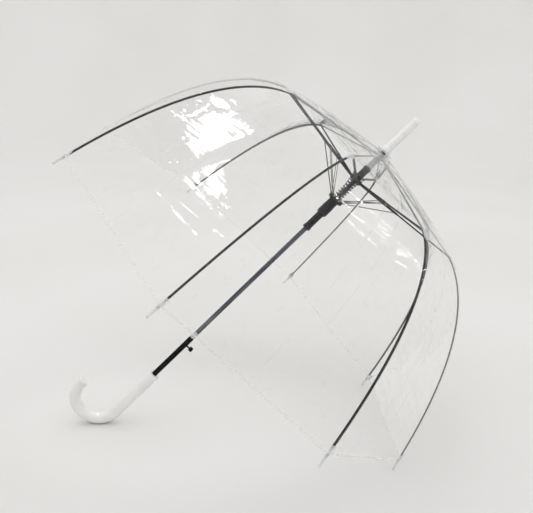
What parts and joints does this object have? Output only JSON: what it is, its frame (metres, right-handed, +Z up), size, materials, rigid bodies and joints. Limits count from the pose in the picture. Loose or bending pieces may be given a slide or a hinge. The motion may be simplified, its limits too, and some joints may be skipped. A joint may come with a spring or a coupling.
{
  "type": "dome umbrella",
  "caption": "Clear dome-shaped stick umbrella, open, with thin black ribs, sliding runners, release button and a white hooked handle.",
  "frame": {"origin": "middle of the overall size, on the ground that the two lowest rib tips and the hook's underside stand on", "axes": "+Z up from the ground; +X the way the ferrule leans, so the hook is at -X; the shaft lies in the XZ plane and rises 46.4 degrees towards +X; Y is across"},
  "size_m": [0.6864, 0.7588, 0.6384],
  "materials": {
    "shaft_paint": "dark blue-grey satin paint",
    "white_plastic": "moulded white",
    "clear_plastic": "translucent",
    "grey_plastic": "moulded light grey",
    "bare_steel": "bare",
    "spring_steel": "blackened",
    "black_plastic": "moulded black",
    "black_gloss": "gloss black",
    "handle_white": "glossy moulded white",
    "clear_film": "clear glossy film",
    "grey_wire": "grey paint",
    "frame_black": "satin black paint",
    "tip_white": "translucent white",
    "strut_wire": "drawn wire"
  },
  "bodies": {
    "stick": {"shaft": "shaft_paint", "ferrule": "white_plastic", "film_washer": "clear_plastic", "crown": "grey_plastic", "crown_pins": "bare_steel", "stop_sleeve": "grey_plastic", "shaft_sleeve": "black_gloss", "stop_ring": "clear_plastic", "button_spring": "bare_steel", "handle": "handle_white", "handle_cap": "handle_white", "canopy": "clear_film"},
    "lower_runner": {"lower_runner": "black_plastic", "lower_runner_pins": "bare_steel", "opening_spring": "spring_steel"},
    "upper_runner": {"upper_runner": "black_plastic", "upper_runner_pins": "bare_steel"},
    "release_button": {"release_button": "black_gloss"},
    "top_wire_1": {"top_wire_1": "grey_wire"},
    "rib_1": {"rib_1": "frame_black", "rib_tip_1": "tip_white"},
    "arm_1": {"arm_1": "frame_black"},
    "strut_1": {"strut_1": "strut_wire"},
    "top_wire_2": {"top_wire_2": "grey_wire"},
    "rib_2": {"rib_2": "frame_black", "rib_tip_2": "tip_white"},
    "arm_2": {"arm_2": "frame_black"},
    "strut_2": {"strut_2": "strut_wire"},
    "top_wire_3": {"top_wire_3": "grey_wire"},
    "rib_3": {"rib_3": "frame_black", "rib_tip_3": "tip_white"},
    "arm_3": {"arm_3": "frame_black"},
    "strut_3": {"strut_3": "strut_wire"},
    "top_wire_4": {"top_wire_4": "grey_wire"},
    "rib_4": {"rib_4": "frame_black", "rib_tip_4": "tip_white"},
    "arm_4": {"arm_4": "frame_black"},
    "strut_4": {"strut_4": "strut_wire"},
    "top_wire_5": {"top_wire_5": "grey_wire"},
    "rib_5": {"rib_5": "frame_black", "rib_tip_5": "tip_white"},
    "arm_5": {"arm_5": "frame_black"},
    "strut_5": {"strut_5": "strut_wire"},
    "top_wire_6": {"top_wire_6": "grey_wire"},
    "rib_6": {"rib_6": "frame_black", "rib_tip_6": "tip_white"},
    "arm_6": {"arm_6": "frame_black"},
    "strut_6": {"strut_6": "strut_wire"},
    "top_wire_7": {"top_wire_7": "grey_wire"},
    "rib_7": {"rib_7": "frame_black", "rib_tip_7": "tip_white"},
    "arm_7": {"arm_7": "frame_black"},
    "strut_7": {"strut_7": "strut_wire"},
    "top_wire_8": {"top_wire_8": "grey_wire"},
    "rib_8": {"rib_8": "frame_black", "rib_tip_8": "tip_white"},
    "arm_8": {"arm_8": "frame_black"},
    "strut_8": {"strut_8": "strut_wire"}
  },
  "joints": [
    {"name": "lower_runner_slide", "type": "slide", "parent": "stick", "child": "lower_runner", "axis": [-0.6893, 0, -0.7245], "range_m": [0, 0.30819], "stiffness_N_per_m": 60, "springref_m": -0.25, "deforming": ["opening_spring", "canopy"]},
    {"name": "upper_runner_slide", "type": "slide", "parent": "stick", "child": "upper_runner", "axis": [-0.6893, 0, -0.7245], "range_m": [0, 0.34007]},
    {"name": "button_press", "type": "slide", "parent": "stick", "child": "release_button", "axis": [-0.7245, 0, 0.6893], "range_m": [0, 0.003], "stiffness_N_per_m": 300, "springref_m": -0.001},
    {"name": "top_wire_1_fold", "type": "hinge", "parent": "stick", "child": "top_wire_1", "pos_m": [0.21549, 0.00276, 0.51243], "axis": [-0.2773, 0.9239, 0.2638], "range_deg": [0, 76.02]},
    {"name": "rib_1_fold", "type": "hinge", "parent": "top_wire_1", "child": "rib_1", "pos_m": [0.32446, 0.07845, 0.36184], "axis": [0.2773, -0.9239, -0.2638], "range_deg": [0, 47.76]},
    {"name": "arm_1_fold", "type": "hinge", "parent": "upper_runner", "child": "arm_1", "pos_m": [0.17644, 0.00668, 0.47091], "axis": [0.2773, -0.9239, -0.2638], "range_deg": [0, 79.53]},
    {"name": "strut_1_fold", "type": "hinge", "parent": "lower_runner", "child": "strut_1", "pos_m": [0.14708, 0.00802, 0.43536], "axis": [0.2773, -0.9239, -0.2638], "range_deg": [0, 52.85]},
    {"name": "top_wire_2_fold", "type": "hinge", "parent": "stick", "child": "top_wire_2", "pos_m": [0.21267, 0.00665, 0.51512], "axis": [-0.6693, 0.3827, 0.6368], "range_deg": [0, 76.02]},
    {"name": "rib_2_fold", "type": "hinge", "parent": "top_wire_2", "child": "rib_2", "pos_m": [0.24408, 0.1894, 0.43831], "axis": [0.6693, -0.3827, -0.6368], "range_deg": [0, 47.76]},
    {"name": "arm_2_fold", "type": "hinge", "parent": "upper_runner", "child": "arm_2", "pos_m": [0.17154, 0.00965, 0.47558], "axis": [0.6693, -0.3827, -0.6368], "range_deg": [0, 79.53]},
    {"name": "strut_2_fold", "type": "hinge", "parent": "lower_runner", "child": "strut_2", "pos_m": [0.1408, 0.01289, 0.44133], "axis": [0.6693, -0.3827, -0.6368], "range_deg": [0, 52.85]},
    {"name": "top_wire_3_fold", "type": "hinge", "parent": "stick", "child": "top_wire_3", "pos_m": [0.20868, 0.00665, 0.51892], "axis": [-0.6693, -0.3827, 0.6368], "range_deg": [0, 76.02]},
    {"name": "rib_3_fold", "type": "hinge", "parent": "top_wire_3", "child": "rib_3", "pos_m": [0.1304, 0.1894, 0.54646], "axis": [0.6693, 0.3827, -0.6368], "range_deg": [0, 47.76]},
    {"name": "arm_3_fold", "type": "hinge", "parent": "upper_runner", "child": "arm_3", "pos_m": [0.16655, 0.00698, 0.48033], "axis": [0.6693, 0.3827, -0.6368], "range_deg": [0, 79.53]},
    {"name": "strut_3_fold", "type": "hinge", "parent": "lower_runner", "child": "strut_3", "pos_m": [0.13387, 0.01021, 0.44792], "axis": [0.6693, 0.3827, -0.6368], "range_deg": [0, 52.85]},
    {"name": "top_wire_4_fold", "type": "hinge", "parent": "stick", "child": "top_wire_4", "pos_m": [0.20586, 0.00276, 0.5216], "axis": [-0.2773, -0.9239, 0.2638], "range_deg": [0, 76.02]},
    {"name": "rib_4_fold", "type": "hinge", "parent": "top_wire_4", "child": "rib_4", "pos_m": [0.05002, 0.07845, 0.62293], "axis": [0.2773, 0.9239, -0.2638], "range_deg": [0, 47.76]},
    {"name": "arm_4_fold", "type": "hinge", "parent": "upper_runner", "child": "arm_4", "pos_m": [0.16439, 0.00021, 0.48238], "axis": [0.2773, 0.9239, -0.2638], "range_deg": [0, 79.53]},
    {"name": "strut_4_fold", "type": "hinge", "parent": "lower_runner", "child": "strut_4", "pos_m": [0.13034, 0.00155, 0.45128], "axis": [0.2773, 0.9239, -0.2638], "range_deg": [0, 52.85]},
    {"name": "top_wire_5_fold", "type": "hinge", "parent": "stick", "child": "top_wire_5", "pos_m": [0.20586, -0.00276, 0.5216], "axis": [0.2773, -0.9239, -0.2638], "range_deg": [0, 76.02]},
    {"name": "rib_5_fold", "type": "hinge", "parent": "top_wire_5", "child": "rib_5", "pos_m": [0.05002, -0.07845, 0.62293], "axis": [-0.2773, 0.9239, 0.2638], "range_deg": [0, 47.76]},
    {"name": "arm_5_fold", "type": "hinge", "parent": "upper_runner", "child": "arm_5", "pos_m": [0.16633, -0.00668, 0.48053], "axis": [-0.2773, 0.9239, 0.2638], "range_deg": [0, 79.53]},
    {"name": "strut_5_fold", "type": "hinge", "parent": "lower_runner", "child": "strut_5", "pos_m": [0.13228, -0.00802, 0.44943], "axis": [-0.2773, 0.9239, 0.2638], "range_deg": [0, 52.85]},
    {"name": "top_wire_6_fold", "type": "hinge", "parent": "stick", "child": "top_wire_6", "pos_m": [0.20868, -0.00665, 0.51892], "axis": [0.6693, -0.3827, -0.6368], "range_deg": [0, 76.02]},
    {"name": "rib_6_fold", "type": "hinge", "parent": "top_wire_6", "child": "rib_6", "pos_m": [0.1304, -0.1894, 0.54646], "axis": [-0.6693, 0.3827, 0.6368], "range_deg": [0, 47.76]},
    {"name": "arm_6_fold", "type": "hinge", "parent": "upper_runner", "child": "arm_6", "pos_m": [0.17123, -0.00965, 0.47587], "axis": [-0.6693, 0.3827, 0.6368], "range_deg": [0, 79.53]},
    {"name": "strut_6_fold", "type": "hinge", "parent": "lower_runner", "child": "strut_6", "pos_m": [0.13856, -0.01289, 0.44346], "axis": [-0.6693, 0.3827, 0.6368], "range_deg": [0, 52.85]},
    {"name": "top_wire_7_fold", "type": "hinge", "parent": "stick", "child": "top_wire_7", "pos_m": [0.21267, -0.00665, 0.51512], "axis": [0.6693, 0.3827, -0.6368], "range_deg": [0, 76.02]},
    {"name": "rib_7_fold", "type": "hinge", "parent": "top_wire_7", "child": "rib_7", "pos_m": [0.24408, -0.1894, 0.43831], "axis": [-0.6693, -0.3827, 0.6368], "range_deg": [0, 47.76]},
    {"name": "arm_7_fold", "type": "hinge", "parent": "upper_runner", "child": "arm_7", "pos_m": [0.17622, -0.00698, 0.47112], "axis": [-0.6693, -0.3827, 0.6368], "range_deg": [0, 79.53]},
    {"name": "strut_7_fold", "type": "hinge", "parent": "lower_runner", "child": "strut_7", "pos_m": [0.14549, -0.01021, 0.43687], "axis": [-0.6693, -0.3827, 0.6368], "range_deg": [0, 52.85]},
    {"name": "top_wire_8_fold", "type": "hinge", "parent": "stick", "child": "top_wire_8", "pos_m": [0.21549, -0.00276, 0.51243], "axis": [0.2773, 0.9239, -0.2638], "range_deg": [0, 76.02]},
    {"name": "rib_8_fold", "type": "hinge", "parent": "top_wire_8", "child": "rib_8", "pos_m": [0.32446, -0.07845, 0.36184], "axis": [-0.2773, -0.9239, 0.2638], "range_deg": [0, 47.76]},
    {"name": "arm_8_fold", "type": "hinge", "parent": "upper_runner", "child": "arm_8", "pos_m": [0.17838, -0.00021, 0.46907], "axis": [-0.2773, -0.9239, 0.2638], "range_deg": [0, 79.53]},
    {"name": "strut_8_fold", "type": "hinge", "parent": "lower_runner", "child": "strut_8", "pos_m": [0.14902, -0.00155, 0.43351], "axis": [-0.2773, -0.9239, 0.2638], "range_deg": [0, 52.85]}
  ],
  "couplings": [
    {"joint": "upper_runner_slide", "follows": "lower_runner_slide", "ratio": 1.1034},
    {"joint": "top_wire_1_fold", "follows": "lower_runner_slide", "rad_per_m": 4.3049},
    {"joint": "rib_1_fold", "follows": "lower_runner_slide", "rad_per_m": 2.7048},
    {"joint": "arm_1_fold", "follows": "lower_runner_slide", "rad_per_m": 4.5038},
    {"joint": "strut_1_fold", "follows": "lower_runner_slide", "rad_per_m": 2.993},
    {"joint": "top_wire_2_fold", "follows": "lower_runner_slide", "rad_per_m": 4.3049},
    {"joint": "rib_2_fold", "follows": "lower_runner_slide", "rad_per_m": 2.7048},
    {"joint": "arm_2_fold", "follows": "lower_runner_slide", "rad_per_m": 4.5038},
    {"joint": "strut_2_fold", "follows": "lower_runner_slide", "rad_per_m": 2.993},
    {"joint": "top_wire_3_fold", "follows": "lower_runner_slide", "rad_per_m": 4.3049},
    {"joint": "rib_3_fold", "follows": "lower_runner_slide", "rad_per_m": 2.7048},
    {"joint": "arm_3_fold", "follows": "lower_runner_slide", "rad_per_m": 4.5038},
    {"joint": "strut_3_fold", "follows": "lower_runner_slide", "rad_per_m": 2.993},
    {"joint": "top_wire_4_fold", "follows": "lower_runner_slide", "rad_per_m": 4.3049},
    {"joint": "rib_4_fold", "follows": "lower_runner_slide", "rad_per_m": 2.7048},
    {"joint": "arm_4_fold", "follows": "lower_runner_slide", "rad_per_m": 4.5038},
    {"joint": "strut_4_fold", "follows": "lower_runner_slide", "rad_per_m": 2.993},
    {"joint": "top_wire_5_fold", "follows": "lower_runner_slide", "rad_per_m": 4.3049},
    {"joint": "rib_5_fold", "follows": "lower_runner_slide", "rad_per_m": 2.7048},
    {"joint": "arm_5_fold", "follows": "lower_runner_slide", "rad_per_m": 4.5038},
    {"joint": "strut_5_fold", "follows": "lower_runner_slide", "rad_per_m": 2.993},
    {"joint": "top_wire_6_fold", "follows": "lower_runner_slide", "rad_per_m": 4.3049},
    {"joint": "rib_6_fold", "follows": "lower_runner_slide", "rad_per_m": 2.7048},
    {"joint": "arm_6_fold", "follows": "lower_runner_slide", "rad_per_m": 4.5038},
    {"joint": "strut_6_fold", "follows": "lower_runner_slide", "rad_per_m": 2.993},
    {"joint": "top_wire_7_fold", "follows": "lower_runner_slide", "rad_per_m": 4.3049},
    {"joint": "rib_7_fold", "follows": "lower_runner_slide", "rad_per_m": 2.7048},
    {"joint": "arm_7_fold", "follows": "lower_runner_slide", "rad_per_m": 4.5038},
    {"joint": "strut_7_fold", "follows": "lower_runner_slide", "rad_per_m": 2.993},
    {"joint": "top_wire_8_fold", "follows": "lower_runner_slide", "rad_per_m": 4.3049},
    {"joint": "rib_8_fold", "follows": "lower_runner_slide", "rad_per_m": 2.7048},
    {"joint": "arm_8_fold", "follows": "lower_runner_slide", "rad_per_m": 4.5038},
    {"joint": "strut_8_fold", "follows": "lower_runner_slide", "rad_per_m": 2.993}
  ]
}
